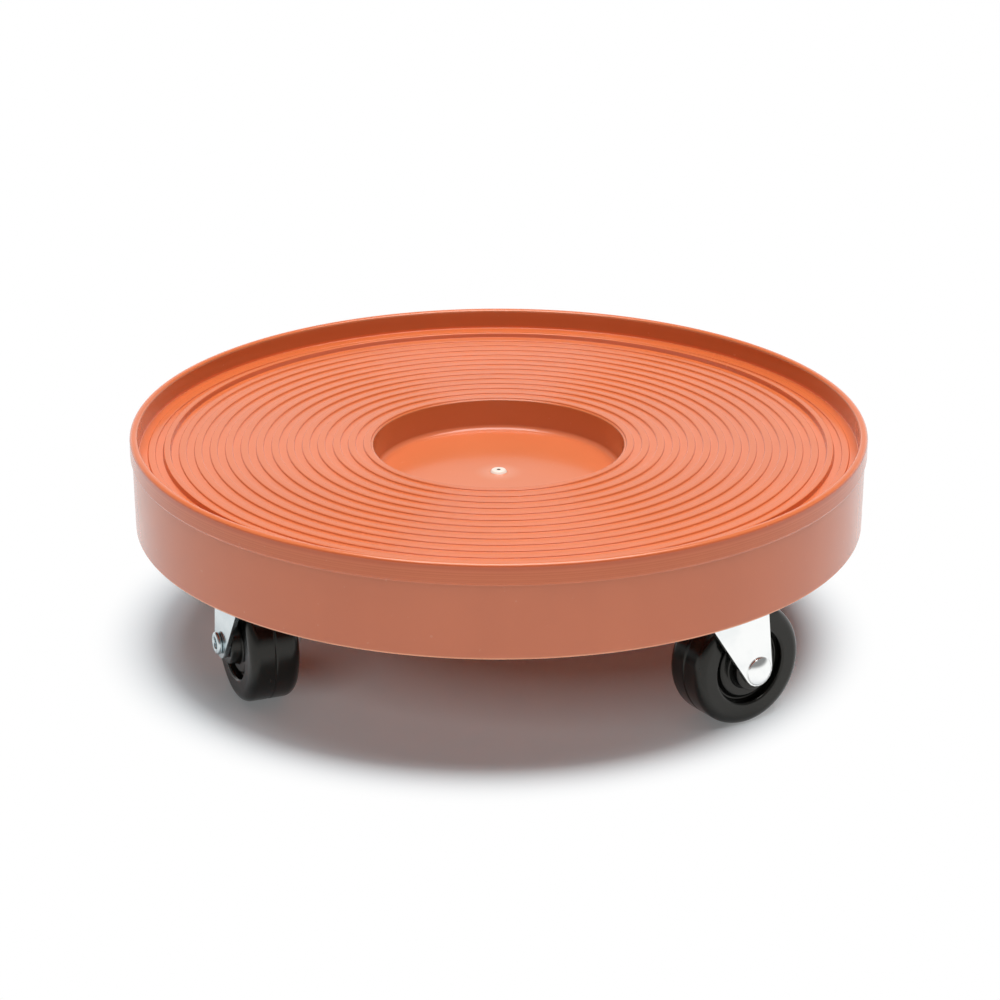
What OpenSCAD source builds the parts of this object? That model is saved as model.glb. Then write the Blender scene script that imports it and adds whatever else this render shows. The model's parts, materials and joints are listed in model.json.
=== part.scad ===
// Plant pot caddy: a round moulded deck with a raised rim and a ringed pot seat, rolling on
// swivel casters whose stems press into sockets under the deck.
// The ground is z = 0, Z is the deck's own axis, and the front of the caddy faces -Y.

/* [Deck] */
// Outside diameter of the rim
deck_d = 304.8; // [270:0.1:400]
// Thickness of the plate under the rings
plate_t = 2.8; // [2:0.1:5]
// Height of the rim above the tops of the rings
rim_h = 8; // [4:0.5:14]
// Thickness of the rim's wall
rim_wall = 3.3; // [3:0.1:6]
// Radius of the rim's rounded edges
rim_round = 1.2; // [0.5:0.1:2]
// Radius of the fillet at the foot of the rim, inside
rim_foot_round = 0.4; // [0.3:0.1:2]
// Height of the plain band round the outside of the rim
band_h = 8; // [4:0.1:12]
// How far the skirt steps in below the band, along a slope of 45 degrees
band_step = 0.8; // [0.4:0.1:1.5]
// Thickness of the skirt's wall
skirt_wall = 3; // [2:0.1:5]
// How far the skirt draws in towards its lower edge
skirt_draft = 0.4; // [0:0.1:1.5]
// Radius of the skirt's lower outer edge
skirt_round = 1.2; // [0.4:0.1:2]
// Room between the skirt's lower edge and the top of the fork crowns, measured upright
skirt_gap = 1.2; // [0.8:0.1:6]

/* [Rings] */
// Spacing of the rings
ring_pitch = 6.35; // [4:0.05:12]
// Width of a ring's top
ring_w = 3; // [1.5:0.1:3.5]
// Height of the rings above the grooves
ring_h = 0.7; // [0.3:0.1:1.5]
// How far a ring's sides lean out, each
ring_draft = 0.15; // [0:0.05:0.3]
// Level step between the well and the first ring
well_ledge = 0.9; // [0.5:0.1:3]
// How far the perimeter lip lies in from the rim's outside
lip_inset = 16.8; // [14:0.1:30]
// Height of the perimeter lip above the rings
lip_h = 1.3; // [0.4:0.1:3]

/* [Well] */
// Diameter of the well at its top
well_d = 104.3; // [60:0.1:140]
// Depth of the well below the tops of the rings
well_depth = 14; // [6:0.5:16]
// Thickness of the well's wall
well_wall = 2.8; // [2:0.1:5]
// Thickness of the well's floor
well_floor_t = 2.8; // [2:0.1:5]
// How far the well draws in towards its floor
well_draft = 0.6; // [0:0.1:2]
// Radius of the fillet round the well's floor
well_round = 2.2; // [0.5:0.1:4]
// Diameter of the moulding gate's raised mark, at its foot
gate_d = 7.3; // [3:0.1:15]
// Diameter of the gate mark's top
gate_top_d = 5.8; // [3:0.1:12]
// Height of the gate mark
gate_h = 1.2; // [0.2:0.1:2]
// Diameter of the small pit in the gate mark
gate_pit_d = 1.4; // [0.6:0.1:2.5]

/* [Underside] */
// Number of straight ribs, one through every socket and the others between them
rib_count = 8; // [4:4:16]
// Thickness of the ribs
rib_t = 2.4; // [1.5:0.1:4]
// Outside diameter of a stem socket
socket_d = 20; // [17:0.5:26]
// Solid left between a socket's bore and the plate
socket_roof = 0.5; // [0.2:0.1:4]
// Lead-in chamfer at a socket's mouth
socket_chamfer = 0.6; // [0.2:0.1:1.2]
// Length of the gussets on each side of a socket
gusset_l = 14; // [6:0.5:16]
// How far the gussets stay above a socket's mouth
gusset_lift = 3; // [1:0.5:6]

/* [Casters] */
// How far the swivel axes lie in from the rim's outside
caster_inset = 32.9; // [29:0.1:50]
// Level distance from the swivel axis to the axle
trail = 19.6; // [15:0.1:24]
// Swivel angle of the front left caster at rest, from +X
front_left_turn = 116; // [-180:0.1:180]
// Swivel angle of the front right caster at rest, from +X
front_right_turn = 38.2; // [-180:0.1:180]
// Swivel angle of the rear left caster at rest, from +X
rear_left_turn = 70; // [-180:0.1:180]
// Swivel angle of the rear right caster at rest, from +X
rear_right_turn = 105; // [-180:0.1:180]

/* [Wheel] */
// Wheel diameter
wheel_d = 50.8; // [40:0.1:65]
// Width of the tread
wheel_w = 21.2; // [16:0.1:26]
// Radius of the tread's edges
tread_round = 4; // [1:0.1:5]
// Width of the mould's parting groove round the tread
parting_w = 1.2; // [0.3:0.1:1.2]
// Depth of the parting groove
parting_depth = 0.4; // [0.1:0.05:0.5]
// Diameter of the recess in each face
recess_d = 32; // [28:0.5:36]
// Depth of the recess
recess_depth = 4; // [1:0.1:5]
// Width of the groove left in the recess, outside the step round the hub
groove_w = 1.4; // [0.8:0.1:3]
// Share of the recess's depth that the step round the hub takes up
step_share = 0.6; // [0:0.05:0.9]
// Diameter of the hub's end
hub_d = 17.8; // [14:0.1:20]
// How far the hub stands proud of the tread's faces
hub_proud = 3.1; // [1.5:0.1:4]
// Play between the hub and each fork leg
side_play = 0.6; // [0.3:0.05:1]

/* [Axle] */
// Diameter of the rivet's shank
rivet_d = 6.35; // [5:0.05:7]
// Diameter of the domed head
rivet_head_d = 11.8; // [9:0.1:14]
// Height of the domed head
rivet_head_h = 2.7; // [1.5:0.1:4]
// Height of the upright edge round the domed head
rivet_edge_h = 0.4; // [0.2:0.1:1]
// Diameter of the rolled end
rivet_roll_d = 9.4; // [9:0.1:12]
// Height of the rolled end
rivet_roll_h = 2; // [2:0.1:4]
// Diameter of the hole in the rolled end
rivet_hole_d = 4.4; // [3:0.1:4.4]
// Depth of the hole in the rolled end
rivet_hole_depth = 9; // [4:0.5:12]
// Outside diameter of the axle sleeve
sleeve_d = 9.5; // [8.5:0.1:11]
// Running clearance of the wheel on the sleeve, and of the pivot pieces, on the radius
run_fit = 0.06; // [0.02:0.01:0.1]

/* [Fork] */
// Thickness of the fork's sheet steel
fork_t = 1.8; // [1.8:0.1:2.5]
// Room between the wheel and the crown
crown_gap = 2.8; // [2:0.1:5]
// Radius of the round nose of the crown, from the swivel axis
crown_nose_r = 16.5; // [15:0.5:20]
// Radius of the bend between the crown and the legs, outside
bend_r = 2; // [0.5:0.1:3]
// Radius of a leg's lower end, round the axle
leg_end_r = 6.5; // [5.5:0.1:8]
// How far the legs reach in front of the swivel axis, at the crown
leg_front = 6.8; // [6:0.1:11]
// How far the legs reach behind the axle, at the crown
leg_back = 3.7; // [2:0.1:8]
// How far in front of the axle the legs start to draw in
leg_crease = 5.5; // [4:0.5:12]
// Angle at which the front of each leg draws in
leg_turn_in = 3; // [0:0.5:6]

/* [Swivel bearing] */
// Diameter of a ball
ball_d = 4.76; // [3.5:0.01:5]
// Number of balls
ball_count = 12; // [6:1:12]
// Radius of the ring of balls
ball_ring_r = 11; // [10.5:0.1:12]
// Depth of the race grooves
race_depth = 1; // [0.5:0.1:1.2]
// Thickness of the race cap
cap_t = 2; // [1.8:0.1:3]
// Thickness of the race cap's dust lip
cap_lip_t = 1.2; // [0.8:0.1:2]
// Room between the balls and the dust lip
cap_lip_gap = 0.4; // [0.3:0.1:1]
// Room between the dust lip and the fork's crown
cap_lip_clear = 0.6; // [0.4:0.1:1.5]

/* [Stem] */
// Stem diameter
stem_d = 11.1; // [10:0.1:13]
// Length of the stem above its shoulder
stem_l = 20; // [14:0.5:30]
// Room above the stem's end in its socket
stem_end_room = 0.7; // [0.3:0.1:2]
// Chamfer on the stem's end
stem_chamfer = 1.2; // [0.4:0.1:2]
// Diameter of the shoulder that the deck rests on
shoulder_d = 17; // [15:0.5:19]
// Height of the shoulder
shoulder_h = 3; // [2:0.1:5]
// Diameter of the kingpin below the shoulder
king_d = 8; // [6:0.1:10]
// Diameter of the peened lower end
peen_d = 12.4; // [10.5:0.1:14]
// Height of the peened lower end
peen_h = 1.8; // [1:0.1:2.5]
// Outside diameter of the king washer
washer_d = 15; // [12.5:0.5:18]
// Thickness of the king washer
washer_t = 1; // [0.6:0.1:1.5]
// Upright play between the king washer and the crown
king_play = 0.2; // [0.1:0.05:0.4]
// Width of the grip ring
grip_w = 3; // [2:0.1:5]
// Thickness of the grip ring
grip_t = 0.9; // [0.6:0.1:1.2]
// Distance of the grip ring from the stem's end
grip_inset = 4; // [3:0.5:6]
// Gap where the grip ring is split
grip_split = 2; // [1:0.1:4]

/* [Hidden] */
$fn = 72;
ARC_STEPS = 8;
BITE = 0.5;

deck_r = deck_d / 2;
rim_in_r = deck_r - rim_wall;
rim_edge_r = min(rim_round, rim_wall / 2);
skirt_top_r = deck_r - band_step;
skirt_low_r = skirt_top_r - skirt_draft;
well_r = well_d / 2;
well_low_r = well_r - well_draft;
well_out_r = well_r + well_wall;
lip_r = deck_r - lip_inset;
ring_0_r = well_r + well_ledge;
ring_base_w = ring_w + 2 * ring_draft;
ring_n = floor((lip_r - ring_0_r) / ring_pitch + 0.01);
caster_r = deck_r - caster_inset;

axle_z = wheel_d / 2;
crown_z = wheel_d + crown_gap;
crown_top_z = crown_z + fork_t;
race_r = ball_d / 2 + run_fit;
ball_z = crown_top_z - race_depth + race_r;
cap_z = ball_z + race_r - race_depth;
cap_top_z = cap_z + cap_t;
cap_in_r = ball_ring_r + ball_d / 2 + cap_lip_gap;
cap_out_r = cap_in_r + cap_lip_t;
socket_z = cap_top_z + shoulder_h;
bore_depth = stem_l + stem_end_room;
plate_z = socket_z + bore_depth + socket_roof;
groove_z = plate_z + plate_t;
ring_z = groove_z + ring_h;
lip_z = ring_z + lip_h;
rim_z = ring_z + rim_h;
band_z = rim_z - band_h;
skirt_z = crown_top_z + skirt_gap;
well_z = ring_z - well_depth;
well_under_z = well_z - well_floor_t;
rib_z = min(well_under_z, plate_z - BITE);

recess_draft = recess_depth / 8;
recess_low_r = recess_d / 2 - recess_draft;
step_sink = recess_depth * (1 - step_share);
step_foot_r = recess_low_r - groove_w;
hub_foot_r = hub_d / 2 + (step_foot_r - recess_draft - hub_d / 2) / 6;
hub_l = wheel_w + 2 * hub_proud;
fork_in = hub_l / 2 + side_play;
fork_out = fork_in + fork_t;
leg_rear_x = trail + max(leg_end_r, leg_back);
crease_x = trail - leg_crease;
sleeve_r = sleeve_d / 2;
rivet_r = rivet_d / 2;
king_r = king_d / 2;
stem_r = stem_d / 2;
bore_r = stem_r + run_fit;
washer_top_z = crown_z - king_play;
washer_z = washer_top_z - washer_t;
peen_z = washer_z - peen_h;
stem_top_z = socket_z + stem_l;
grip_z = stem_top_z - grip_inset - grip_w;

// Name, bearing of the swivel axis on the deck, and swivel angle at rest
CASTERS = [
    ["front_left", -135, front_left_turn],
    ["front_right", -45, front_right_turn],
    ["rear_left", 135, rear_left_turn],
    ["rear_right", 45, rear_right_turn]
];
CASTER_PIECES = [
    "stem", "grip_ring", "race_cap", "bearing_balls", "fork",
    "king_washer", "axle_rivet", "axle_sleeve", "wheel"
];

// Points round an arc about a centre, from one angle to another
function arc(centre, r, from, to) = [
    for (i = [0 : ARC_STEPS])
        let (a = from + (to - from) * i / ARC_STEPS)
            centre + r * [cos(a), sin(a)]
];

function reversed(points) = [for (i = [len(points) - 1 : -1 : 0]) points[i]];

// One moulded ring in section, from its inner foot to its outer foot
function ring_points(r, top_z) = [
    [r, groove_z],
    [r + ring_draft, top_z],
    [r + ring_draft + ring_w, top_z],
    [r + ring_base_w, groove_z]
];

// The top of the deck in section, from the middle of the well out to the rim's foot
function deck_top_points() = concat(
    [
        [0, well_z],
        [gate_pit_d / 2, well_z],
        [gate_pit_d / 2, well_z + gate_h],
        [gate_top_d / 2, well_z + gate_h],
        [gate_d / 2, well_z]
    ],
    arc([well_low_r - well_round, well_z + well_round], well_round, -90, 0),
    [[well_r, groove_z]],
    [for (k = [0 : ring_n - 1]) each ring_points(ring_0_r + k * ring_pitch, ring_z)],
    ring_points(lip_r, lip_z),
    lip_r + ring_pitch + ring_base_w < rim_in_r - rim_foot_round
        ? ring_points(lip_r + ring_pitch, ring_z)
        : []
);

// The rim and the skirt in section, from the rim's foot round to the plate's underside
function deck_edge_points() = concat(
    arc([rim_in_r - rim_foot_round, groove_z + rim_foot_round], rim_foot_round, -90, 0),
    arc([rim_in_r + rim_edge_r, rim_z - rim_edge_r], rim_edge_r, 180, 90),
    arc([deck_r - rim_edge_r, rim_z - rim_edge_r], rim_edge_r, 90, 0),
    [[deck_r, band_z], [skirt_top_r, band_z - band_step]],
    arc([skirt_low_r - skirt_round, skirt_z + skirt_round], skirt_round, 0, -90),
    [[skirt_low_r - skirt_wall, skirt_z], [skirt_top_r - skirt_wall, plate_z]]
);

module deck_shell() {
    rotate_extrude()
        polygon(concat(
            deck_top_points(),
            deck_edge_points(),
            [
                [well_out_r, plate_z],
                [well_low_r + well_wall, well_under_z],
                [0, well_under_z]
            ]
        ));
}

module straight_rib(bearing) {
    rotate(bearing)
        translate([well_out_r - BITE, -rib_t / 2, rib_z])
            cube([skirt_low_r - skirt_wall + BITE - well_out_r + BITE, rib_t, plate_z + BITE - rib_z]);
}

module round_rib() {
    translate([0, 0, rib_z])
        difference() {
            cylinder(r = caster_r + rib_t / 2, h = plate_z + BITE - rib_z);
            translate([0, 0, -BITE])
                cylinder(r = caster_r - rib_t / 2, h = plate_z + 3 * BITE - rib_z);
        }
}

module socket(bearing) {
    reach = socket_d / 2 + gusset_l;
    gusset_z = socket_z + gusset_lift;
    rotate(bearing)
        translate([caster_r, 0, 0]) {
            translate([0, 0, socket_z])
                cylinder(d = socket_d, h = plate_z + BITE - socket_z);
            translate([0, rib_t / 2, 0])
                rotate([90, 0, 0])
                    linear_extrude(rib_t)
                        polygon([
                            [-reach, rib_z + BITE],
                            [-socket_d / 2, gusset_z],
                            [socket_d / 2, gusset_z],
                            [reach, rib_z + BITE]
                        ]);
        }
}

module socket_bore(bearing) {
    rotate(bearing)
        translate([caster_r, 0, socket_z]) {
            cylinder(r = bore_r, h = bore_depth);
            translate([0, 0, -BITE])
                cylinder(r1 = bore_r + socket_chamfer + BITE, r2 = bore_r, h = socket_chamfer + BITE);
        }
}

module deck() {
    color("#d9693f")
        difference() {
            union() {
                deck_shell();
                round_rib();
                for (i = [0 : rib_count - 1])
                    straight_rib(CASTERS[3][1] + i * 360 / rib_count);
                for (caster = CASTERS)
                    socket(caster[1]);
            }
            for (caster = CASTERS)
                socket_bore(caster[1]);
        }
}

// Puts a caster piece in place: the swivel axis is its Z, and it trails towards its +X
module at_swivel(caster) {
    rotate(caster[1])
        translate([caster_r, 0, 0])
            rotate(caster[2] - caster[1])
                children();
}

// Lays a turned piece along the axle, with the end that was up towards -Y
module on_axle() {
    translate([trail, 0, axle_z])
        rotate([90, 0, 0])
            children();
}

// The ring that the balls fill, with their running clearance
module race_groove() {
    rotate_extrude()
        translate([ball_ring_r, ball_z])
            circle(r = race_r);
}

module stem() {
    grip_floor_r = bore_r - run_fit - grip_t - run_fit;
    color("silver")
        rotate_extrude()
            polygon(concat(
                [[0, peen_z], [peen_d / 2 - peen_h / 2, peen_z]],
                arc([peen_d / 2 - peen_h / 2, peen_z + peen_h / 2], peen_h / 2, -90, 90),
                [
                    [king_r, washer_z],
                    [king_r, cap_top_z],
                    [shoulder_d / 2, cap_top_z],
                    [shoulder_d / 2, socket_z],
                    [stem_r, socket_z],
                    [stem_r, grip_z - run_fit],
                    [grip_floor_r, grip_z - run_fit],
                    [grip_floor_r, grip_z + grip_w + run_fit],
                    [stem_r, grip_z + grip_w + run_fit],
                    [stem_r, stem_top_z - stem_chamfer],
                    [stem_r - stem_chamfer, stem_top_z],
                    [0, stem_top_z]
                ]
            ));
}

module grip_ring() {
    ring_out_r = bore_r - run_fit / 2;
    color("dimgray")
        translate([0, 0, grip_z])
            difference() {
                cylinder(r = ring_out_r, h = grip_w);
                translate([0, 0, -BITE])
                    cylinder(r = ring_out_r - grip_t, h = grip_w + 2 * BITE);
                translate([0, -grip_split / 2, -BITE])
                    cube([stem_d, grip_split, grip_w + 2 * BITE]);
            }
}

module race_cap() {
    color("gainsboro")
        difference() {
            rotate_extrude()
                polygon(concat(
                    [
                        [king_r + run_fit, cap_z],
                        [cap_in_r, cap_z],
                        [cap_in_r, crown_top_z + cap_lip_clear],
                        [cap_out_r, crown_top_z + cap_lip_clear]
                    ],
                    arc([cap_out_r - cap_lip_t, cap_top_z - cap_lip_t], cap_lip_t, 0, 90),
                    [[king_r + run_fit, cap_top_z]]
                ));
            race_groove();
        }
}

module bearing_balls() {
    color("lightgray")
        for (i = [0 : ball_count - 1])
            rotate(i * 360 / ball_count)
                translate([ball_ring_r, 0, ball_z])
                    sphere(d = ball_d);
}

// Half the fork's outline seen from above: straight beside the wheel, drawn in at the front
function leg_line(half_w) = [
    [leg_rear_x, half_w],
    [crease_x, half_w],
    [-crown_nose_r, half_w - (crease_x + crown_nose_r) * tan(leg_turn_in)]
];

function mirrored(points) = [for (p = points) [p[0], -p[1]]];

// Steepness of a leg's edge that touches its round end and reaches so far from the axle at the crown
function leg_slant(run) =
    let (rise = crown_z - axle_z)
        atan2(rise, run) + asin(leg_end_r / norm([run, rise]));

// The fork seen from the side: a nearly upright rear edge, a round end, and a slanting front edge
module fork_side() {
    rotate([90, 0, 0])
        linear_extrude(2 * fork_out + 2 * BITE, center = true)
            polygon(concat(
                [[trail + leg_back, crown_top_z + BITE], [trail + leg_back, crown_z]],
                arc([trail, axle_z], leg_end_r, leg_slant(leg_back) - 90, -90 - leg_slant(trail + leg_front)),
                [[-leg_front, crown_z], [-leg_front, crown_top_z + BITE]]
            ));
}

module fork_walls() {
    outer = leg_line(fork_out);
    inner = leg_line(fork_in);
    linear_extrude(crown_top_z)
        for (side = [concat(outer, reversed(inner)), mirrored(concat(outer, reversed(inner)))])
            polygon(side);
}

module fork_crown() {
    outer = leg_line(fork_out);
    translate([0, 0, crown_z])
        linear_extrude(fork_t)
            polygon(concat(outer, reversed(mirrored(outer))));
}

// What the press takes off one long upper edge, along the straight or the drawn-in stretch
module bend_waste(side, angle) {
    r = min(bend_r, fork_t);
    mirror([0, side, 0])
        translate([crease_x, fork_out, crown_top_z])
            rotate([0, 0, angle])
                rotate([90, 0, 90])
                    translate([0, 0, -crown_nose_r - leg_rear_x])
                        linear_extrude(2 * (crown_nose_r + leg_rear_x))
                            translate([-r, -r])
                                difference() {
                                    square(2 * r);
                                    circle(r = r);
                                }
}

module fork() {
    color("aliceblue")
        difference() {
            union() {
                intersection() {
                    fork_side();
                    union() {
                        fork_walls();
                        fork_crown();
                    }
                }
                intersection() {
                    fork_crown();
                    translate([0, 0, crown_z - BITE])
                        cylinder(r = crown_nose_r, h = fork_t + 2 * BITE);
                }
            }
            for (side = [0, 1]) {
                bend_waste(side, 0);
                bend_waste(side, leg_turn_in);
            }
            race_groove();
            cylinder(r = king_r + run_fit, h = 2 * crown_top_z);
            on_axle()
                cylinder(r = rivet_r + run_fit, h = 4 * fork_out, center = true);
        }
}

module king_washer() {
    color("silver")
        translate([0, 0, washer_z])
            difference() {
                cylinder(d = washer_d, h = washer_t);
                translate([0, 0, -BITE])
                    cylinder(r = king_r + run_fit, h = washer_t + 2 * BITE);
            }
}

module axle_rivet() {
    head_r = rivet_head_d / 2;
    dome_h = rivet_head_h - rivet_edge_h;
    dome_r = (head_r * head_r + dome_h * dome_h) / (2 * dome_h);
    roll_c = [(rivet_roll_d - rivet_roll_h) / 2, -fork_out - rivet_roll_h / 2];
    color("whitesmoke")
        on_axle()
            rotate_extrude()
                polygon(concat(
                    arc([0, fork_out + rivet_head_h - dome_r], dome_r, 90, acos(head_r / dome_r)),
                    [[head_r, fork_out], [rivet_r, fork_out], [rivet_r, -fork_out]],
                    arc(roll_c, rivet_roll_h / 2, 90, -90),
                    [
                        [rivet_hole_d / 2, -fork_out - rivet_roll_h],
                        [rivet_hole_d / 2, -fork_out - rivet_roll_h + rivet_hole_depth],
                        [0, -fork_out - rivet_roll_h + rivet_hole_depth]
                    ]
                ));
}

module axle_sleeve() {
    color("silver")
        on_axle()
            difference() {
                cylinder(r = sleeve_r, h = 2 * fork_in, center = true);
                cylinder(r = rivet_r + run_fit, h = 4 * fork_in, center = true);
            }
}

// One half of the wheel in section, from the bore to the parting groove
function wheel_points() = concat(
    [
        [sleeve_r + run_fit, hub_l / 2],
        [hub_d / 2, hub_l / 2],
        [hub_foot_r, wheel_w / 2 - step_sink],
        [step_foot_r - recess_draft, wheel_w / 2 - step_sink],
        [step_foot_r, wheel_w / 2 - recess_depth],
        [recess_low_r, wheel_w / 2 - recess_depth],
        [recess_d / 2, wheel_w / 2]
    ],
    arc([wheel_d / 2 - tread_round, wheel_w / 2 - tread_round], tread_round, 90, 0),
    [[wheel_d / 2, parting_w / 2], [wheel_d / 2 - parting_depth, 0]]
);

module wheel() {
    half = wheel_points();
    color("#262626")
        on_axle()
            rotate_extrude()
                polygon(concat(half, reversed(mirrored(half))));
}

deck();
for (caster = CASTERS) {
    name = str(caster[0], "_");
    at_swivel(caster) stem();
    at_swivel(caster) grip_ring();
    at_swivel(caster) race_cap();
    at_swivel(caster) bearing_balls();
    at_swivel(caster) fork();
    at_swivel(caster) king_washer();
    at_swivel(caster) axle_rivet();
    at_swivel(caster) axle_sleeve();
    at_swivel(caster) wheel();
}
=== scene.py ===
import json
import math

import bmesh
import bpy
from mathutils import Matrix, Vector


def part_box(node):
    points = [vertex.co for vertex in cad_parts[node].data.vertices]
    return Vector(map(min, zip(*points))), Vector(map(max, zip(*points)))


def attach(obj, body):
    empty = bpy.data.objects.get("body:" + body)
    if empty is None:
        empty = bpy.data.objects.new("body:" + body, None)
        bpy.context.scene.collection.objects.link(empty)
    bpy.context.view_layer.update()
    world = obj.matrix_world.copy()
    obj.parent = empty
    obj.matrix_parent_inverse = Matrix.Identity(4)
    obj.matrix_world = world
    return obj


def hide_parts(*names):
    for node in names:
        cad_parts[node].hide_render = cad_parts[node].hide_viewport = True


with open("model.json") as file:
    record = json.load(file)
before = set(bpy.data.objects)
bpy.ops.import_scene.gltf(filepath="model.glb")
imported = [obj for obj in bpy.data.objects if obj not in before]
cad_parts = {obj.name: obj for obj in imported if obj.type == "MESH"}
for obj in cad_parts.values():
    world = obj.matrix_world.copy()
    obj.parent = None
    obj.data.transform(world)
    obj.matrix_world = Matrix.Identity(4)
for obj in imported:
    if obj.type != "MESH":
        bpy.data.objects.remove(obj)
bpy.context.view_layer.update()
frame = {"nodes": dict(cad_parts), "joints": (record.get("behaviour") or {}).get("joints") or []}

# Viewpoint. The photograph was taken with a long lens from about 1.4 m away, a few degrees to the
# right of the front and 22 degrees above level, as a fit to the deck's concentric rings shows.
MM = 0.001
view_reach = 1249.6 * MM
view_height = 556.4 * MM
view_turn = math.radians(4.29)
view_dip = math.radians(21.61)
view_sensor = 36.0
view_lens = 115.5
view_shift = 0.0013

camera_data = bpy.data.cameras.new("photo_camera")
camera_data.sensor_width = view_sensor
camera_data.lens = view_lens
camera_data.shift_x = view_shift
camera = bpy.data.objects.new("photo_camera", camera_data)
camera.location = (view_reach * math.sin(view_turn), -view_reach * math.cos(view_turn), view_height)
camera.rotation_euler = (math.pi / 2 - view_dip, 0, view_turn)
bpy.context.scene.collection.objects.link(camera)
bpy.context.scene.camera = camera
bpy.context.scene.view_settings.view_transform = "Standard"


# Studio. A white sweep and pale walls stand round one overhead softbox. The floor under the caddy
# takes its shadow, and past the shadow's edge the floor and the surroundings are plain white. It is
# clear from below, so that the underside can be looked at.
white = (1, 1, 1, 1)
floor_r = 8.0
floor_steps = 128
floor_colour = (0.82, 0.93, 0.99, 1)
white_from, white_to = 0.127, 0.168
white_centre = (-0.007, 0.007, 0)
# Painted light: a glow lifts the floor's shadow, most towards the front left, and is held back round the left
# wheel, which paints that wheel's shade.
painted_lift_from, painted_lift_to, painted_lift_most = 0.111, 0.170, 0.134
painted_lift_centre = (0.026, 0.076, 0)
wheel_shade_from, wheel_shade_to = 0.004, 0.034
wheel_shade_centre = (-0.080, -0.036, 0)
wall_colour = (0.95, 0.98, 1, 1)
wall_light, ceiling_light, wall_top = 0.24, 0.04, 0.60
back_white_to, back_dark_from, back_dark = 0.25, 0.55, 0.10
side_white_to, side_dark_from, side_dark = 0.05, 0.30, 0.25
side_until, back_from = 0.50, 0.85
softbox_size = 2.8
softbox_place = (0.20, -0.20, 3.2)
softbox_power = 137.0


def put(tree, kind, inputs=None, **settings):
    """Adds a shader node: settings are its options, inputs its socket values or incoming links."""
    made = tree.nodes.new(kind)
    for key, value in settings.items():
        setattr(made, key, value)
    for key, value in (inputs or {}).items():
        if isinstance(value, bpy.types.NodeSocket):
            tree.links.new(value, made.inputs[key])
        else:
            made.inputs[key].default_value = value
    return made


def sums(tree, operation, first, second=0.0, third=0.0):
    """One step of arithmetic."""
    return put(tree, "ShaderNodeMath", {0: first, 1: second, 2: third}, operation=operation).outputs[0]


def ranged(tree, value, low, high, to_low=0.0, to_high=1.0, blend="SMOOTHSTEP"):
    """Maps a value from one range to another and holds it at the ends."""
    span = {"Value": value, "From Min": low, "From Max": high, "To Min": to_low, "To Max": to_high}
    return put(tree, "ShaderNodeMapRange", span, interpolation_type=blend).outputs[0]


def blank_material(name):
    """A material with only its output node left."""
    material = bpy.data.materials.new(name)
    material.use_nodes = True
    tree = material.node_tree
    tree.nodes.clear()
    return material, tree, tree.nodes.new("ShaderNodeOutputMaterial")


def seen_directly(tree):
    """1 for camera, mirror and glass rays, which should see plain white surroundings."""
    path = put(tree, "ShaderNodeLightPath").outputs
    shiny = sums(tree, "MAXIMUM", path["Is Glossy Ray"], path["Is Transmission Ray"])
    return sums(tree, "MAXIMUM", path["Is Camera Ray"], shiny)


def link_mesh(name, bm, place=None):
    """Closes a bmesh into a smooth shaded object at the origin, with its place in its mesh."""
    if place is not None:
        bmesh.ops.transform(bm, matrix=place, verts=bm.verts)
    mesh = bpy.data.meshes.new(name)
    bm.to_mesh(mesh)
    bm.free()
    mesh.shade_smooth()
    made = bpy.data.objects.new(name, mesh)
    bpy.context.scene.collection.objects.link(made)
    return made


world = bpy.data.worlds.new("studio")
world.use_nodes = True
bpy.context.scene.world = world
tree = world.node_tree
tree.nodes.clear()
direction = put(tree, "ShaderNodeTexCoord").outputs["Generated"]
facing = put(tree, "ShaderNodeSeparateXYZ", {0: direction}).outputs
wall_strength = ranged(tree, facing["Z"], 0.0, wall_top, wall_light, ceiling_light, "LINEAR")
dim_light = put(tree, "ShaderNodeBackground", {"Color": wall_colour, "Strength": wall_strength}).outputs[0]
back_seen = ranged(tree, facing["Z"], back_white_to, back_dark_from, 1.0, back_dark, "LINEAR")
side_seen = ranged(tree, facing["Z"], side_white_to, side_dark_from, 1.0, side_dark, "LINEAR")
behind = ranged(tree, facing["Y"], side_until, back_from, blend="LINEAR")
mirrored = put(tree, "ShaderNodeMix", {0: behind, 2: side_seen, 3: back_seen}).outputs[0]
by_camera = put(tree, "ShaderNodeLightPath").outputs["Is Camera Ray"]
white_strength = sums(tree, "MAXIMUM", by_camera, mirrored)
white_view = put(tree, "ShaderNodeBackground", {"Color": white, "Strength": white_strength}).outputs[0]
seen = seen_directly(tree)
surroundings = put(tree, "ShaderNodeMixShader", {0: seen, 1: dim_light, 2: white_view}).outputs[0]
put(tree, "ShaderNodeOutputWorld", {"Surface": surroundings})


def away_from(tree, place, centre):
    """How far a place on the floor lies from a centre."""
    return put(tree, "ShaderNodeVectorMath", {0: place, 1: centre}, operation="DISTANCE").outputs["Value"]


floor_material, tree, output = blank_material("white_floor")
spot = put(tree, "ShaderNodeTexCoord").outputs["Object"]
past_shadow = ranged(tree, away_from(tree, spot, white_centre), white_from, white_to)
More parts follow.
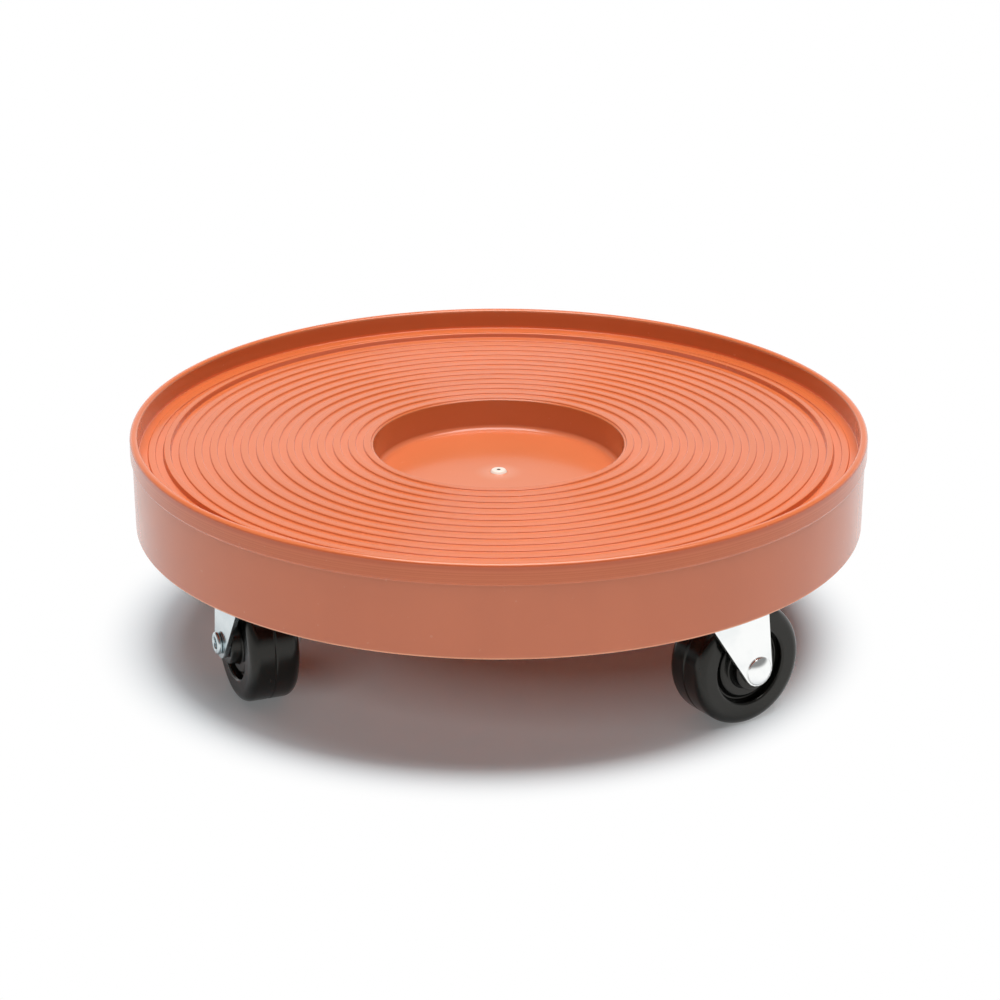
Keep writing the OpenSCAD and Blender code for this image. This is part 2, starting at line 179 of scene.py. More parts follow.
# Painted light and shade: the shadowed floor glows paler away from a centre at the back right, except round
# the left wheel.
painted_lift = ranged(tree, away_from(tree, spot, painted_lift_centre), painted_lift_from, painted_lift_to, 0.0, painted_lift_most, "LINEAR")
by_wheel = away_from(tree, spot, wheel_shade_centre)
unshaded = ranged(tree, by_wheel, wheel_shade_from, wheel_shade_to, blend="LINEAR")
painted_lift = sums(tree, "MULTIPLY", painted_lift, unshaded)
plain = sums(tree, "MULTIPLY", sums(tree, "MAXIMUM", past_shadow, painted_lift), seen_directly(tree))
paper = put(tree, "ShaderNodeBsdfDiffuse", {"Color": floor_colour}).outputs[0]
glow = put(tree, "ShaderNodeEmission", {"Color": white, "Strength": 1.0}).outputs[0]
from_above = put(tree, "ShaderNodeMixShader", {0: plain, 1: paper, 2: glow}).outputs[0]
clear = put(tree, "ShaderNodeBsdfTransparent").outputs[0]
from_below = put(tree, "ShaderNodeNewGeometry").outputs["Backfacing"]
one_way = put(tree, "ShaderNodeMixShader", {0: from_below, 1: from_above, 2: clear}).outputs[0]
tree.links.new(one_way, output.inputs["Surface"])

bm = bmesh.new()
bmesh.ops.create_circle(bm, cap_ends=True, segments=floor_steps, radius=floor_r)
floor = link_mesh("floor", bm)
floor.data.materials.append(floor_material)

softbox_data = bpy.data.lights.new("softbox", "AREA")
softbox_data.shape = "SQUARE"
softbox_data.size = softbox_size
softbox_data.energy = softbox_power
softbox = bpy.data.objects.new("softbox", softbox_data)
softbox.location = softbox_place
bpy.context.scene.collection.objects.link(softbox)


# Deck. One injection moulding in terracotta polypropylene: a ringed pot seat with a well in the
# middle, a perimeter lip and drip channel, a raised rim, and a skirt that hides the casters.
deck_low, deck_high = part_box("deck")
deck_r = deck_high.x
rim_z = deck_high.z
skirt_z = deck_low.z
ring_z = rim_z - 8.0 * MM
ring_h = 0.7 * MM
groove_z = ring_z - ring_h
plate_z = groove_z - 2.8 * MM
lip_z = ring_z + 1.3 * MM
rim_in_r = deck_r - 3.3 * MM
rim_foot_round = 0.4 * MM
rim_in_round = 1.2 * MM
rim_out_round = 1.4 * MM
band_z = rim_z - 8.0 * MM
band_step = 0.8 * MM
band_round = 0.3 * MM
skirt_r = deck_r - band_step
skirt_low_r = skirt_r - 0.4 * MM
skirt_wall = 3.0 * MM
skirt_round = 0.6 * MM
plate_round = 1.0 * MM
well_r = 52.15 * MM
well_low_r = well_r - 0.6 * MM
well_wall = 2.8 * MM
well_z = ring_z - 14.0 * MM
well_under_z = well_z - 2.8 * MM
well_round = 2.2 * MM
well_edge_round = 0.5 * MM
well_under_round = 1.5 * MM
ring_pitch = 6.35 * MM
ring_w = 3.3 * MM
ring_foot_round = 0.15 * MM
ring_top_round = 0.35 * MM
ring_lean = 0.15 * MM
lip_lean = 0.40 * MM
first_ring_r = well_r + 0.9 * MM
lip_r = deck_r - 16.8 * MM
ring_count = round((lip_r - first_ring_r) / ring_pitch)
gate_r = 3.65 * MM
gate_top_r = 2.9 * MM
gate_z = well_z + 1.2 * MM
gate_round = 0.3 * MM
gate_pit_r = 0.7 * MM
gate_pit_round = 0.1 * MM
deck_steps = 256
merge_within = 0.001 * MM


def turned(corners, steps, sweep=2 * math.pi):
    """Spins a section about Z. A corner is (radius, height) and, if it is rounded, its setback and
    steps. A section that starts and ends on the axis stays open there; any other is closed."""
    bm = bmesh.new()
    points = [bm.verts.new((corner[0], 0, corner[1])) for corner in corners]
    follows = points[1:] + points[:1]
    if corners[0][0] == 0 and corners[-1][0] == 0:
        follows = points[1:]
    for start, end in zip(points, follows):
        bm.edges.new((start, end))
    for point, corner in zip(points, corners):
        if len(corner) > 2:
            bmesh.ops.bevel(bm, geom=[point], offset=corner[2], offset_type="OFFSET", segments=corner[3],
                            profile=0.5, affect="VERTICES", material=-1)
    whole = sweep == 2 * math.pi
    bmesh.ops.spin(bm, geom=bm.verts[:] + bm.edges[:], cent=(0, 0, 0), axis=(0, 0, 1), dvec=(0, 0, 0),
                   angle=sweep, steps=steps, use_merge=whole)
    bmesh.ops.remove_doubles(bm, verts=bm.verts, dist=merge_within)
    if not whole:
        bmesh.ops.holes_fill(bm, edges=[edge for edge in bm.edges if edge.is_boundary], sides=0)
    bmesh.ops.recalc_face_normals(bm, faces=bm.faces)
    return bm


def even_shading(piece):
    """Keeps broad faces flat beside their small rounded edges."""
    even = piece.modifiers.new("even_shading", "WEIGHTED_NORMAL")
    even.keep_sharp = True
    even.weight = 100


def ring_section(r, top, lean):
    """One raised ring of the seat, from its inner foot to its outer foot."""
    return [
        (r, groove_z, ring_foot_round, 1),
        (r + lean, top, ring_top_round, 3),
        (r + ring_w - lean, top, ring_top_round, 3),
        (r + ring_w, groove_z, ring_foot_round, 1),
    ]


gate_section = [
    (0, well_z),
    (gate_pit_r, well_z),
    (gate_pit_r, gate_z, gate_pit_round, 2),
    (gate_top_r, gate_z, gate_round, 3),
    (gate_r, well_z, gate_round, 3),
]
top_section = [
    (well_low_r, well_z, well_round, 8),
    (well_r, groove_z, well_edge_round, 4),
]
for k in range(ring_count):
    top_section += ring_section(first_ring_r + k * ring_pitch, ring_z, ring_lean)
top_section += ring_section(lip_r, lip_z, lip_lean)
top_section += ring_section(lip_r + ring_pitch, ring_z, ring_lean)
edge_section = [
    (rim_in_r, groove_z, rim_foot_round, 3),
    (rim_in_r, rim_z, rim_in_round, 6),
    (deck_r, rim_z, rim_out_round, 8),
    (deck_r, band_z, band_round, 3),
    (skirt_r, band_z - band_step, band_round, 3),
    (skirt_low_r, skirt_z, skirt_round, 4),
    (skirt_low_r - skirt_wall, skirt_z, skirt_round, 3),
    (skirt_r - skirt_wall, plate_z, plate_round, 3),
]
under_section = [
    (well_r + well_wall, plate_z, plate_round, 3),
    (well_low_r + well_wall, well_under_z, well_under_round, 4),
    (0, well_under_z),
]
deck_section = gate_section + top_section + edge_section + under_section
deck_shell = link_mesh("deck_shell", turned(deck_section, deck_steps))
even_shading(deck_shell)
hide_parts("deck")

joints = {joint["name"]: joint for joint in frame["joints"]}
casters = ("front_left", "front_right", "rear_left", "rear_right")
swivel = Vector(joints["rear_right_swivel"]["pos_m"])
caster_r = math.hypot(swivel.x, swivel.y)
rib_count = 8
rib_t = 2.4 * MM
rib_round = 0.6 * MM
rib_steps = 3
rib_z = well_under_z
root = 0.5 * MM
rib_top = plate_z + root
rib_in = well_r + well_wall - root
rib_out = skirt_low_r - skirt_wall + root
round_rib_steps = 48
socket_r = 10.0 * MM
socket_z = plate_z - 21.2 * MM
socket_round = 0.9 * MM
socket_steps = 64
bore_r = 5.61 * MM
bore_z = plate_z - 0.5 * MM
bore_round = 0.4 * MM
mouth_round = 0.6 * MM
clear_of_bore = socket_r - 2.0 * MM
gusset_reach = 24.0 * MM
gusset_z = socket_z + 3.0 * MM


def upright_web(bm, outline, bearing):
    """Adds a web of the ribs' thickness: its outline is (radius, height), its lower edges are rounded."""
    corners = [bm.verts.new((r, -rib_t / 2, z)) for r, z in outline]
    grown = bmesh.ops.extrude_face_region(bm, geom=[bm.faces.new(corners)])["geom"]
    moved = [part for part in grown if isinstance(part, bmesh.types.BMVert)]
    bmesh.ops.translate(bm, verts=moved, vec=(0, rib_t, 0))
    web = corners + moved
    low = []
    for edge in {edge for vert in web for edge in vert.link_edges}:
        start, end = (vert.co for vert in edge.verts)
        if max(start.z, end.z) < plate_z and abs(start.x - end.x) > rib_t:
            low.append(edge)
    rounded = bmesh.ops.bevel(bm, geom=low, offset=rib_round, offset_type="OFFSET", segments=rib_steps,
                              profile=0.5, affect="EDGES", material=-1)["verts"]
    web = {vert for vert in web if vert.is_valid} | set(rounded)
    bmesh.ops.rotate(bm, verts=list(web), cent=(0, 0, 0), matrix=Matrix.Rotation(bearing, 3, "Z"))


bm = bmesh.new()
for k in range(rib_count):
    bearing = 2 * math.pi * (k + 1) / rib_count
    spans = [(rib_in, rib_out)]
    if k % 2 == 0:
        spans = [(rib_in, caster_r - clear_of_bore), (caster_r + clear_of_bore, rib_out)]
        for side in (-1, 1):
            near, far = caster_r + side * clear_of_bore, caster_r + side * gusset_reach
            knee = caster_r + side * socket_r
            gusset = [(near, rib_z + root), (near, gusset_z), (knee, gusset_z), (far, rib_z + root)]
            upright_web(bm, gusset, bearing)
    for start, end in spans:
        upright_web(bm, [(start, rib_z), (end, rib_z), (end, rib_top), (start, rib_top)], bearing)
bmesh.ops.recalc_face_normals(bm, faces=bm.faces)
deck_ribs = link_mesh("deck_ribs", bm)

quarter = math.pi / 2
socket_turn = 2 * math.asin(clear_of_bore / caster_r)
round_rib_section = [
    (caster_r - rib_t / 2, rib_z, rib_round, rib_steps),
    (caster_r + rib_t / 2, rib_z, rib_round, rib_steps),
    (caster_r + rib_t / 2, rib_top),
    (caster_r - rib_t / 2, rib_top),
]
socket_section = [
    (0, bore_z),
    (bore_r, bore_z, bore_round, 2),
    (bore_r, socket_z, mouth_round, 2),
    (socket_r, socket_z, socket_round, 4),
    (socket_r, rib_top),
    (0, rib_top),
]
deck_pieces = [deck_shell, deck_ribs]
for k, name in enumerate(casters):
    turn = Matrix.Rotation(quarter * k + quarter / 2 + socket_turn / 2, 4, "Z")
    arc = turned(round_rib_section, round_rib_steps, quarter - socket_turn)
    deck_pieces.append(link_mesh("round_rib_" + str(k + 1), arc, turn))
    centre = Vector(joints[name + "_swivel"]["pos_m"])
    socket = turned(socket_section, socket_steps)
    deck_pieces.append(link_mesh(name + "_socket", socket, Matrix.Translation((centre.x, centre.y, 0))))
for piece in deck_pieces:
    if piece is not deck_shell:
        even_shading(piece)
    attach(piece, "deck")


def new_group(name, inputs, outputs):
    """Starts a shader node group from its socket names and kinds."""
    group = bpy.data.node_groups.new(name, "ShaderNodeTree")
    for label, kind in inputs:
        group.interface.new_socket(name=label, in_out="INPUT", socket_type=kind)
    for label, kind in outputs:
        group.interface.new_socket(name=label, in_out="OUTPUT", socket_type=kind)
    return group, group.nodes.new("NodeGroupInput").outputs, group.nodes.new("NodeGroupOutput").inputs


def noise(tree, place, scale, detail, roughness=0.5):
    """A cloudy pattern, about 0.5 on average."""
    wanted = {"Vector": place, "Scale": scale, "Detail": detail, "Roughness": roughness}
    return put(tree, "ShaderNodeTexNoise", wanted).outputs[0]


def tinted(tree, mask, first, second):
    """Mixes two colours by a mask."""
    return put(tree, "ShaderNodeMix", {0: mask, 6: first, 7: second}, data_type="RGBA").outputs[2]


def both(tree, *masks):
    """Multiplies masks and numbers: full where all the masks hold."""
    product = masks[0]
    for mask in masks[1:]:
        product = sums(tree, "MULTIPLY", product, mask)
    return product


def below(tree, value, low, high):
    """1 below a soft limit and 0 above it."""
    return ranged(tree, value, low, high, 1.0, 0.0)


moulded_skin, given, gives = new_group(
    "moulded_skin",
    [("Place", "NodeSocketVector"), ("Patch Scale", "NodeSocketFloat"), ("Grain Scale", "NodeSocketFloat")],
    [("Patches", "NodeSocketFloat"), ("Grain", "NodeSocketFloat"), ("Specks", "NodeSocketFloat")])
speck_scale = 420.0
speck_from, speck_to = 0.755, 0.80
patch_from, patch_to = 0.33, 0.67
cloud = noise(moulded_skin, given["Place"], given["Patch Scale"], 3.0, 0.55)
pores = noise(moulded_skin, given["Place"], given["Grain Scale"], 2.0, 0.6)
motes = noise(moulded_skin, given["Place"], speck_scale, 1.0)
moulded_skin.links.new(ranged(moulded_skin, cloud, patch_from, patch_to), gives["Patches"])
moulded_skin.links.new(pores, gives["Grain"])
moulded_skin.links.new(ranged(moulded_skin, motes, speck_from, speck_to), gives["Specks"])

terracotta_deep = (0.765, 0.176, 0.051, 1)
terracotta_light = (0.845, 0.202, 0.062, 1)
terracotta_strip = (0.640, 0.105, 0.026, 1)
terracotta_shade = (0.580, 0.158, 0.050, 1)
painted_groove_shade = (0.480, 0.080, 0.018, 1)
painted_skirt_sheen = (0.650, 0.158, 0.076, 1)
painted_edge_highlight = (0.980, 0.380, 0.200, 1)
terracotta_pale = (0.86, 0.44, 0.30, 1)
gate_white_and_highlight = (0.97, 0.85, 0.74, 1)
gate_pit_shade = (0.06, 0.02, 0.01, 1)
patch_part, flow_part, speck_part = 0.55, 0.45, 0.12
skirt_sheen_part, strip_part, band_part, tool_part = 0.5, 0.9, 0.34, 0.28
line_shade_part, lip_shade_part = 0.28, 0.35
halo_part, floor_part = 0.35, 0.10
deck_patch_scale, deck_grain_scale, flow_scale = 14.0, 1800.0, 38.0
flow_from, flow_to = 0.35, 0.65
tool_deep, tool_shallow = 0.40, 0.56
grain_relief, tool_relief = 0.35, -0.25
deck_bump, deck_bump_h = 0.15, 0.05 * MM
deck_smooth, deck_dull = 0.21, 0.265

# The lines' widths, then where each tint starts, is full and ends, by height or by reach from the middle.
tool_pitch = 0.55 * MM
line_w = 0.32 * MM
groove_w = ring_pitch - ring_w
lip_top_w = ring_w / 2 - lip_lean
lip_soft = 0.1 * MM
outside_from, outside_full = skirt_low_r - 1.5 * MM, skirt_low_r - 0.5 * MM
skirt_full = band_z - 1.0 * MM
edge_highlight_full, edge_highlight_end = skirt_z + skirt_round, skirt_z + 0.9 * MM
strip_from, strip_full = rim_z - 3.0 * MM, rim_z - 2.2 * MM
round_from, round_full = rim_z - 0.9 * MM, rim_z - 0.4 * MM
seat_full, seat_end = rim_in_r - 2.6 * MM, rim_in_r - 2.1 * MM
well_wall_from, well_wall_full = well_z + 1.0 * MM, well_z + well_round
well_top_full, well_top_end = well_r + 0.2 * MM, well_r + well_edge_round
rim_wall_from, rim_wall_full = rim_in_r - 0.5 * MM, rim_in_r - 0.2 * MM
rim_top_full, rim_top_end = rim_in_r + 0.2 * MM, rim_in_r + 0.4 * MM
rim_low_from, rim_low_full = groove_z + 0.5 * MM, groove_z + 1.5 * MM
floor_from, floor_full = well_z - 1.2 * MM, well_z - 0.6 * MM
floor_high_full, floor_high_end = gate_z + 0.2 * MM, gate_z + 1.0 * MM

terracotta, tree, output = blank_material("terracotta_polypropylene")
spot = put(tree, "ShaderNodeTexCoord").outputs["Object"]
split = put(tree, "ShaderNodeSeparateXYZ", {0: spot}).outputs
height = split["Z"]
flat_spot = put(tree, "ShaderNodeCombineXYZ", {"X": split["X"], "Y": split["Y"]}).outputs[0]
reach = put(tree, "ShaderNodeVectorMath", {0: flat_spot}, operation="LENGTH").outputs["Value"]
scales = {"Place": spot, "Patch Scale": deck_patch_scale, "Grain Scale": deck_grain_scale}
skin = put(tree, "ShaderNodeGroup", scales, node_tree=moulded_skin).outputs

# The skirt's colour, cloudy with the flow of the melt, with painted reflection that dulls it and a painted
# highlight along its lower edge.
outside = ranged(tree, reach, outside_from, outside_full)
on_skirt = both(tree, outside, below(tree, height, skirt_full, band_z))
flow = both(tree, ranged(tree, noise(tree, flat_spot, flow_scale, 2.0), flow_from, flow_to), on_skirt)
tone = sums(tree, "MULTIPLY_ADD", flow, flow_part, both(tree, skin["Patches"], patch_part))
colour = tinted(tree, tone, terracotta_deep, terracotta_light)
# Painted reflection: a duller, less saturated tint over the skirt stands in for the white floor it reflects.
colour = tinted(tree, both(tree, on_skirt, skirt_sheen_part), colour, painted_skirt_sheen)
# Painted highlight: a pale line along the skirt's lower edge, where the edge catches the light.
low_edge_highlight = both(tree, outside, below(tree, height, edge_highlight_full, edge_highlight_end))
colour = tinted(tree, low_edge_highlight, colour, painted_edge_highlight)

# The rim's outside: a deeper strip under its rounded edge, and a band with fine tool lines.
on_rim = both(tree, outside, ranged(tree, height, band_z - band_step, band_z))
top_strip = both(tree, on_rim, ranged(tree, height, strip_from, strip_full),
                 below(tree, height, round_from, round_full))
colour = tinted(tree, both(tree, top_strip, strip_part), colour, terracotta_strip)
on_band = both(tree, on_rim, below(tree, height, strip_from, strip_full))
tool_turn = {"W": sums(tree, "DIVIDE", height, tool_pitch), "Scale": 1.0, "Detail": 1.0}
tool_marks = put(tree, "ShaderNodeTexNoise", tool_turn, noise_dimensions="1D").outputs[0]
tool_lines = both(tree, below(tree, tool_marks, tool_deep, tool_shallow), on_band)
band_tone = sums(tree, "MULTIPLY_ADD", on_band, band_part, both(tree, tool_lines, tool_part))
colour = tinted(tree, band_tone, colour, terracotta_strip)

# The seat: painted shade as darker lines along the sides of the rings and of the perimeter lip.
ring_turn = sums(tree, "PINGPONG", sums(tree, "SUBTRACT", reach, first_ring_r), ring_pitch / 2)
ring_shade_lines = sums(tree, "MAXIMUM", below(tree, ring_turn, 0.25 * line_w, 1.25 * line_w),
                  ranged(tree, ring_turn, groove_w - line_w, groove_w))
on_top = ranged(tree, height, groove_z - line_w, groove_z - line_w / 2)
on_seat = both(tree, on_top, ranged(tree, reach, first_ring_r - 2 * line_w, first_ring_r - line_w),
               below(tree, reach, seat_full, seat_end))
colour = tinted(tree, both(tree, ring_shade_lines, on_seat, line_shade_part), colour, painted_groove_shade)
off_lip = sums(tree, "ABSOLUTE", sums(tree, "SUBTRACT", reach, lip_r + ring_w / 2))
lip_wall_shade = both(tree, on_top, ranged(tree, off_lip, lip_top_w - lip_soft, lip_top_w + lip_soft),
                 below(tree, off_lip, ring_w / 2, ring_w / 2 + line_w))
colour = tinted(tree, both(tree, lip_wall_shade, lip_shade_part), colour, painted_groove_shade)

# The walls of the well and of the rim's inside, in painted shade, then the well's paler floor with the white
# gate mark and its pit.
in_well = both(tree, ranged(tree, height, well_wall_from, well_wall_full),
               below(tree, reach, well_top_full, well_top_end))
in_rim = both(tree, ranged(tree, reach, rim_wall_from, rim_wall_full),
              below(tree, reach, rim_top_full, rim_top_end),
              ranged(tree, height, rim_low_from, rim_low_full))
colour = tinted(tree, sums(tree, "MAXIMUM", in_well, in_rim), colour, terracotta_shade)
on_floor = both(tree, ranged(tree, height, floor_from, floor_full),
                below(tree, height, floor_high_full, floor_high_end),
                below(tree, reach, well_low_r, well_r))
halo = both(tree, ranged(tree, reach, gate_r, 3 * gate_r, halo_part, floor_part), on_floor)
colour = tinted(tree, halo, colour, terracotta_pale)
# The gate mark is stress-whitened plastic, painted whiter still for the highlight its glossy top catches.
nub = both(tree, below(tree, reach, gate_r - gate_round, gate_r), on_floor)
colour = tinted(tree, nub, colour, gate_white_and_highlight)
# Painted shade: the gate's pinhole is painted near black.
pit_shade = both(tree, below(tree, reach, gate_pit_r, gate_pit_r + gate_pit_round), on_floor)
colour = tinted(tree, pit_shade, colour, gate_pit_shade)
colour = tinted(tree, both(tree, skin["Specks"], speck_part), colour, terracotta_pale)

relief = sums(tree, "MULTIPLY_ADD", skin["Grain"], grain_relief, both(tree, tool_lines, tool_relief))
bump = {"Strength": deck_bump, "Distance": deck_bump_h, "Height": relief}
plastic = put(tree, "ShaderNodeBsdfPrincipled", {
    "Base Color": colour,
    "Roughness": ranged(tree, skin["Patches"], 0.0, 1.0, deck_smooth, deck_dull),
    "Normal": put(tree, "ShaderNodeBump", bump).outputs[0],
    "Specular IOR Level": 0.5,
    "Coat Weight": 0.35,
    "Coat Roughness": 0.12,
})
tree.links.new(plastic.outputs[0], output.inputs["Surface"])
for piece in deck_pieces:
    piece.data.materials.append(terracotta)


# Stems, balls and grip rings. Each caster hangs on a turned steel stem, peened over below the fork,
# with a split spring ring that grips its socket and a ring of loose balls that the swivel runs on.
drawn_metal, given, gives = new_group(
    "drawn_metal",
    [("Place", "NodeSocketVector"), ("Streak Scale", "NodeSocketFloat"), ("Blotch Scale", "NodeSocketFloat")],
    [("Streaks", "NodeSocketFloat"), ("Blotches", "NodeSocketFloat")])
drawn_out = (1.0, 1.0, 0.08)
streak_from, streak_to, streak_part = 0.3, 0.7, 0.5
blotch_from, blotch_to, blotch_scale = 0.35, 0.65, 90.0
metal_bump, metal_bump_h = 0.08, 0.02 * MM
left_x, right_x = -50.0 * MM, 50.0 * MM
stretched = put(drawn_metal, "ShaderNodeMapping", {"Vector": given["Place"], "Scale": drawn_out}).outputs[0]
scratches = noise(drawn_metal, stretched, given["Streak Scale"], 3.0, 0.6)
stains = noise(drawn_metal, given["Place"], given["Blotch Scale"], 2.0)
drawn_metal.links.new(ranged(drawn_metal, scratches, streak_from, streak_to), gives["Streaks"])
drawn_metal.links.new(ranged(drawn_metal, stains, blotch_from, blotch_to), gives["Blotches"])


def metal(name, dark, light, smooth, dull, streak_scale, painted_reflection_side=0.0):
    """A bare or plated steel, with fine drawing marks and a slow change of tint. A share of that change, set
    by the last argument, is painted reflection: darker towards the caddy's left, where the metal mirrors the
    shadowed floor, and lighter towards its right."""
    material, tree, output = blank_material(name)
    spot = put(tree, "ShaderNodeTexCoord").outputs["Object"]
    scales = {"Place": spot, "Streak Scale": streak_scale, "Blotch Scale": blotch_scale}
    marks = put(tree, "ShaderNodeGroup", scales, node_tree=drawn_metal).outputs
    blotched = both(tree, marks["Blotches"], 1 - streak_part)
    worn = sums(tree, "MULTIPLY_ADD", marks["Streaks"], streak_part, blotched)
    across = put(tree, "ShaderNodeSeparateXYZ", {0: spot}).outputs["X"]
    right = ranged(tree, across, left_x, right_x)
    stains_and_painted_side = sums(tree, "MULTIPLY_ADD", right, painted_reflection_side, both(tree, marks["Blotches"], 1 - painted_reflection_side))
    bump = {"Strength": metal_bump, "Distance": metal_bump_h, "Height": marks["Streaks"]}
    steel = put(tree, "ShaderNodeBsdfPrincipled", {
        "Base Color": tinted(tree, stains_and_painted_side, dark, light),
        "Metallic": 1.0,
        "Roughness": ranged(tree, worn, 0.0, 1.0, smooth, dull),
        "Normal": put(tree, "ShaderNodeBump", bump).outputs[0],
    })
    tree.links.new(steel.outputs[0], output.inputs["Surface"])
    return material


def dress(node, material):
    """Gives a CAD node its finish."""
    frame["nodes"][node].material_slots[0].material = material


turned_steel = metal("turned_steel", dark=(0.50, 0.51, 0.53, 1), light=(0.62, 0.63, 0.65, 1),
                     smooth=0.29, dull=0.38, streak_scale=900.0)
spring_steel = metal("spring_steel", dark=(0.20, 0.21, 0.25, 1), light=(0.30, 0.31, 0.35, 1),
                     smooth=0.29, dull=0.40, streak_scale=1200.0)
for name in casters:
    dress(name + "_stem", turned_steel)
    dress(name + "_bearing_balls", turned_steel)
    dress(name + "_grip_ring", spring_steel)


# Race caps and king washers. Pressed from sheet steel and zinc plated: the cap sits under the stem's
# shoulder and keeps dust off the balls, and the washer lies between the fork and the peened end.
# Painted reflection: the zinc is painted darker towards the caddy's left, where it mirrors the shadowed
# floor.
zinc_plate = metal("zinc_plate", dark=(0.57, 0.64, 0.66, 1), light=(0.97, 0.98, 0.97, 1),
                   smooth=0.10, dull=0.18, streak_scale=500.0, painted_reflection_side=0.8)
for name in casters:
    dress(name + "_race_cap", zinc_plate)
    dress(name + "_king_washer", zinc_plate)


# Forks. Each is one zinc-plated steel pressing, a flat crown with two tapering legs bent down from it.
# The crown turns on the balls, and the legs' sheared edges are only lightly broken.
sheared_edge = 0.25 * MM
flat_within = math.radians(1)
edge_from = math.radians(40)
for name in casters:
    bm = bmesh.new()
    bm.from_mesh(frame["nodes"][name + "_fork"].data)
    bmesh.ops.remove_doubles(bm, verts=bm.verts, dist=merge_within)
    bmesh.ops.dissolve_limit(bm, angle_limit=flat_within, verts=bm.verts, edges=bm.edges)
    fork = link_mesh(name + "_pressed_fork", bm)
    broken = fork.modifiers.new("broken_edges", "BEVEL")
    broken.width = sheared_edge
    broken.segments = 2
    broken.limit_method = "ANGLE"
    broken.angle_limit = edge_from
    even_shading(fork)
    fork.data.materials.append(zinc_plate)
    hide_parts(name + "_fork")
    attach(fork, name + "_caster")


# Axle rivets and sleeves. A tubular zinc-plated rivet goes through both legs and a steel sleeve, with
# a low dome on one side, and the other end is rolled over into a ring round its hole.
fork_out = 16.1 * MM
rivet_r = 3.175 * MM
rivet_steps = 64
head_r = 5.9 * MM
head_h = 2.7 * MM
head_edge_h = 0.4 * MM
head_foot_round = 0.1 * MM
dome_h = head_h - head_edge_h
dome_r = (head_r ** 2 + dome_h ** 2) / (2 * dome_h)
dome_turn = math.asin(head_r / dome_r)
dome_steps = 10
roll_r = 4.7 * MM
roll_h = 2.0 * MM
roll_round = 0.95 * MM
mouth_r = 2.3 * MM
mouth_edge = 0.7 * MM
hole_r = 2.2 * MM
hole_end = 7.0 * MM - fork_out
hole_round = 0.4 * MM
rivet_section = []
for k in range(dome_steps):
    turn = dome_turn * k / dome_steps
    rivet_section.append((dome_r * math.sin(turn), fork_out + head_h - dome_r * (1 - math.cos(turn))))
rivet_section += [
    (head_r, fork_out + head_edge_h),
    (head_r, fork_out, head_foot_round, 2),
    (rivet_r, fork_out),
    (rivet_r, -fork_out),
    (roll_r, -fork_out, roll_round, 5),
    (roll_r, -fork_out - roll_h, roll_round, 5),
    (mouth_r, -fork_out - roll_h, mouth_edge, 4),
    (hole_r, hole_end, hole_round, 2),
    (0, hole_end),
]


def on_axle(name):
    """Lays a turned piece along a caster's axle, with its upper end towards the rivet's dome."""
    spin = joints[name + "_spin"]
    along, up = Vector(spin["axis"]), Vector((0, 0, 1))
    lie = Matrix((along.cross(up), up, -along)).transposed().to_4x4()
    return Matrix.Translation(spin["pos_m"]) @ lie


for name in casters:
    rivet = link_mesh(name + "_rivet", turned(rivet_section, rivet_steps), on_axle(name))
    rivet.data.materials.append(zinc_plate)
    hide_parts(name + "_axle_rivet")
    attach(rivet, name + "_caster")
    dress(name + "_axle_sleeve", turned_steel)


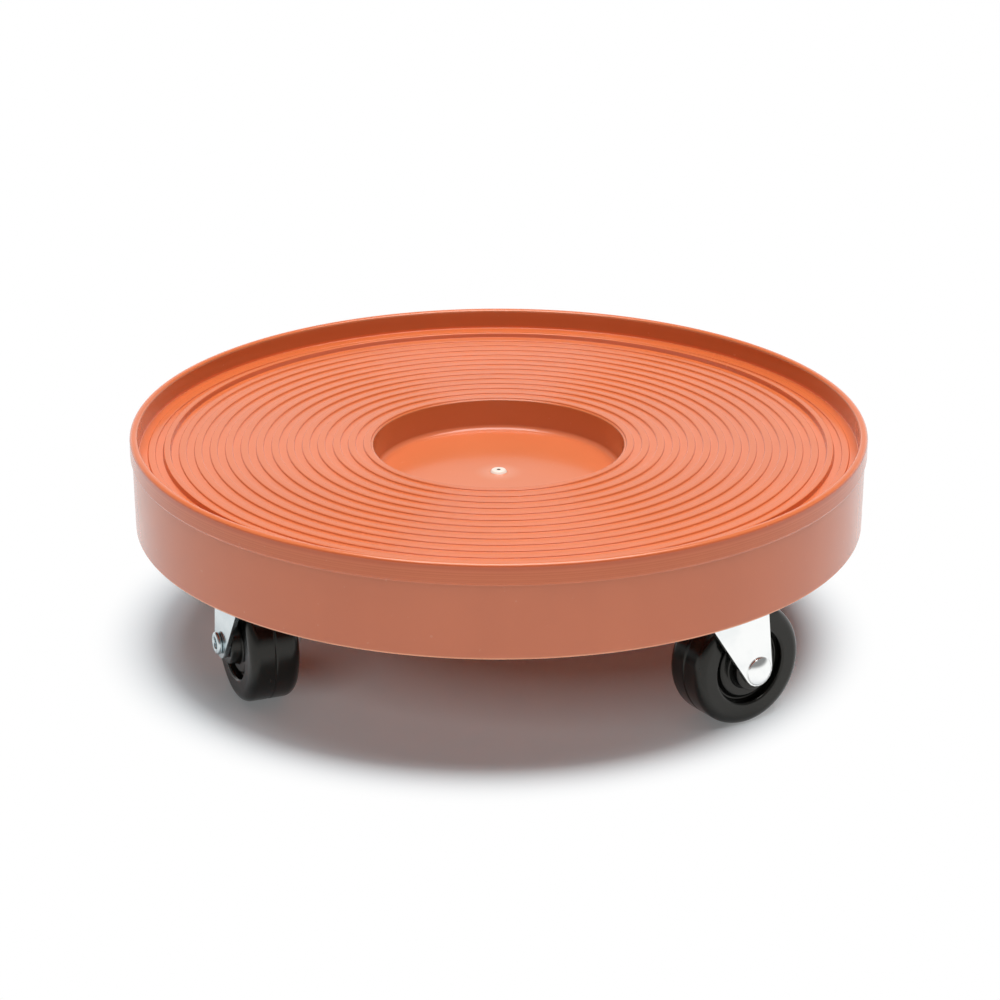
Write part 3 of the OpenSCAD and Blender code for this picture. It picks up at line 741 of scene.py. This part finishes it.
# Wheels. Each is one hard black moulding, with a plain tread, a parting line round its middle, and in
# both faces a recess with a step round the hub. It turns on the axle sleeve.
wheel_r = 25.4 * MM
wheel_steps = 128
tread_round = 4.0 * MM
parting_r = 25.0 * MM
parting_half_w = 0.6 * MM
parting_edge = 0.1 * MM
parting_foot = 0.12 * MM
face_y = 10.6 * MM
recess_r = 16.0 * MM
recess_edge = 1.2 * MM
groove_y = 6.6 * MM
groove_out_r = 15.5 * MM
groove_in_r = 14.1 * MM
groove_round = 0.6 * MM
step_y = 9.0 * MM
step_r = 13.6 * MM
step_edge = 1.3 * MM
hub_y = 13.7 * MM
hub_r = 8.90 * MM
hub_edge = 0.7 * MM
hub_foot_r = 9.68 * MM
hub_foot_round = 0.6 * MM
bore_in_r = 4.81 * MM
bore_edge = 0.3 * MM
half_wheel = [
    (bore_in_r, hub_y, bore_edge, 1),
    (hub_r, hub_y, hub_edge, 4),
    (hub_foot_r, step_y, hub_foot_round, 3),
    (step_r, step_y, step_edge, 5),
    (groove_in_r, groove_y, groove_round, 3),
    (groove_out_r, groove_y, groove_round, 3),
    (recess_r, face_y, recess_edge, 5),
    (wheel_r, face_y, tread_round, 10),
    (wheel_r, parting_half_w, parting_edge, 2),
]
other_half = [(corner[0], -corner[1]) + corner[2:] for corner in reversed(half_wheel)]
wheel_section = half_wheel + [(parting_r, 0, parting_foot, 2)] + other_half

wheel_deep = (0.005, 0.005, 0.004, 1)
wheel_light = (0.009, 0.009, 0.008, 1)
wheel_dust = (0.10, 0.10, 0.095, 1)
dust_part = 0.15
wheel_patch_scale, wheel_grain_scale = 60.0, 2600.0
wheel_bump, wheel_bump_h = 0.25, 0.05 * MM
wheel_smooth, wheel_dull = 0.17, 0.25
black_wheel, tree, output = blank_material("black_wheel")
spot = put(tree, "ShaderNodeTexCoord").outputs["Object"]
scales = {"Place": spot, "Patch Scale": wheel_patch_scale, "Grain Scale": wheel_grain_scale}
skin = put(tree, "ShaderNodeGroup", scales, node_tree=moulded_skin).outputs
colour = tinted(tree, skin["Patches"], wheel_deep, wheel_light)
colour = tinted(tree, both(tree, skin["Specks"], dust_part), colour, wheel_dust)
bump = {"Strength": wheel_bump, "Distance": wheel_bump_h, "Height": skin["Grain"]}
rubber = put(tree, "ShaderNodeBsdfPrincipled", {
    "Base Color": colour,
    "Roughness": ranged(tree, skin["Patches"], 0.0, 1.0, wheel_smooth, wheel_dull),
    "Normal": put(tree, "ShaderNodeBump", bump).outputs[0],
    "Specular IOR Level": 0.41,
    "Specular Tint": (1.0, 0.97, 0.90, 1),
})
tree.links.new(rubber.outputs[0], output.inputs["Surface"])
for name in casters:
    wheel = link_mesh(name + "_moulded_wheel", turned(wheel_section, wheel_steps), on_axle(name))
    even_shading(wheel)
    wheel.data.materials.append(black_wheel)
    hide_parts(name + "_wheel")
    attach(wheel, name + "_wheel")
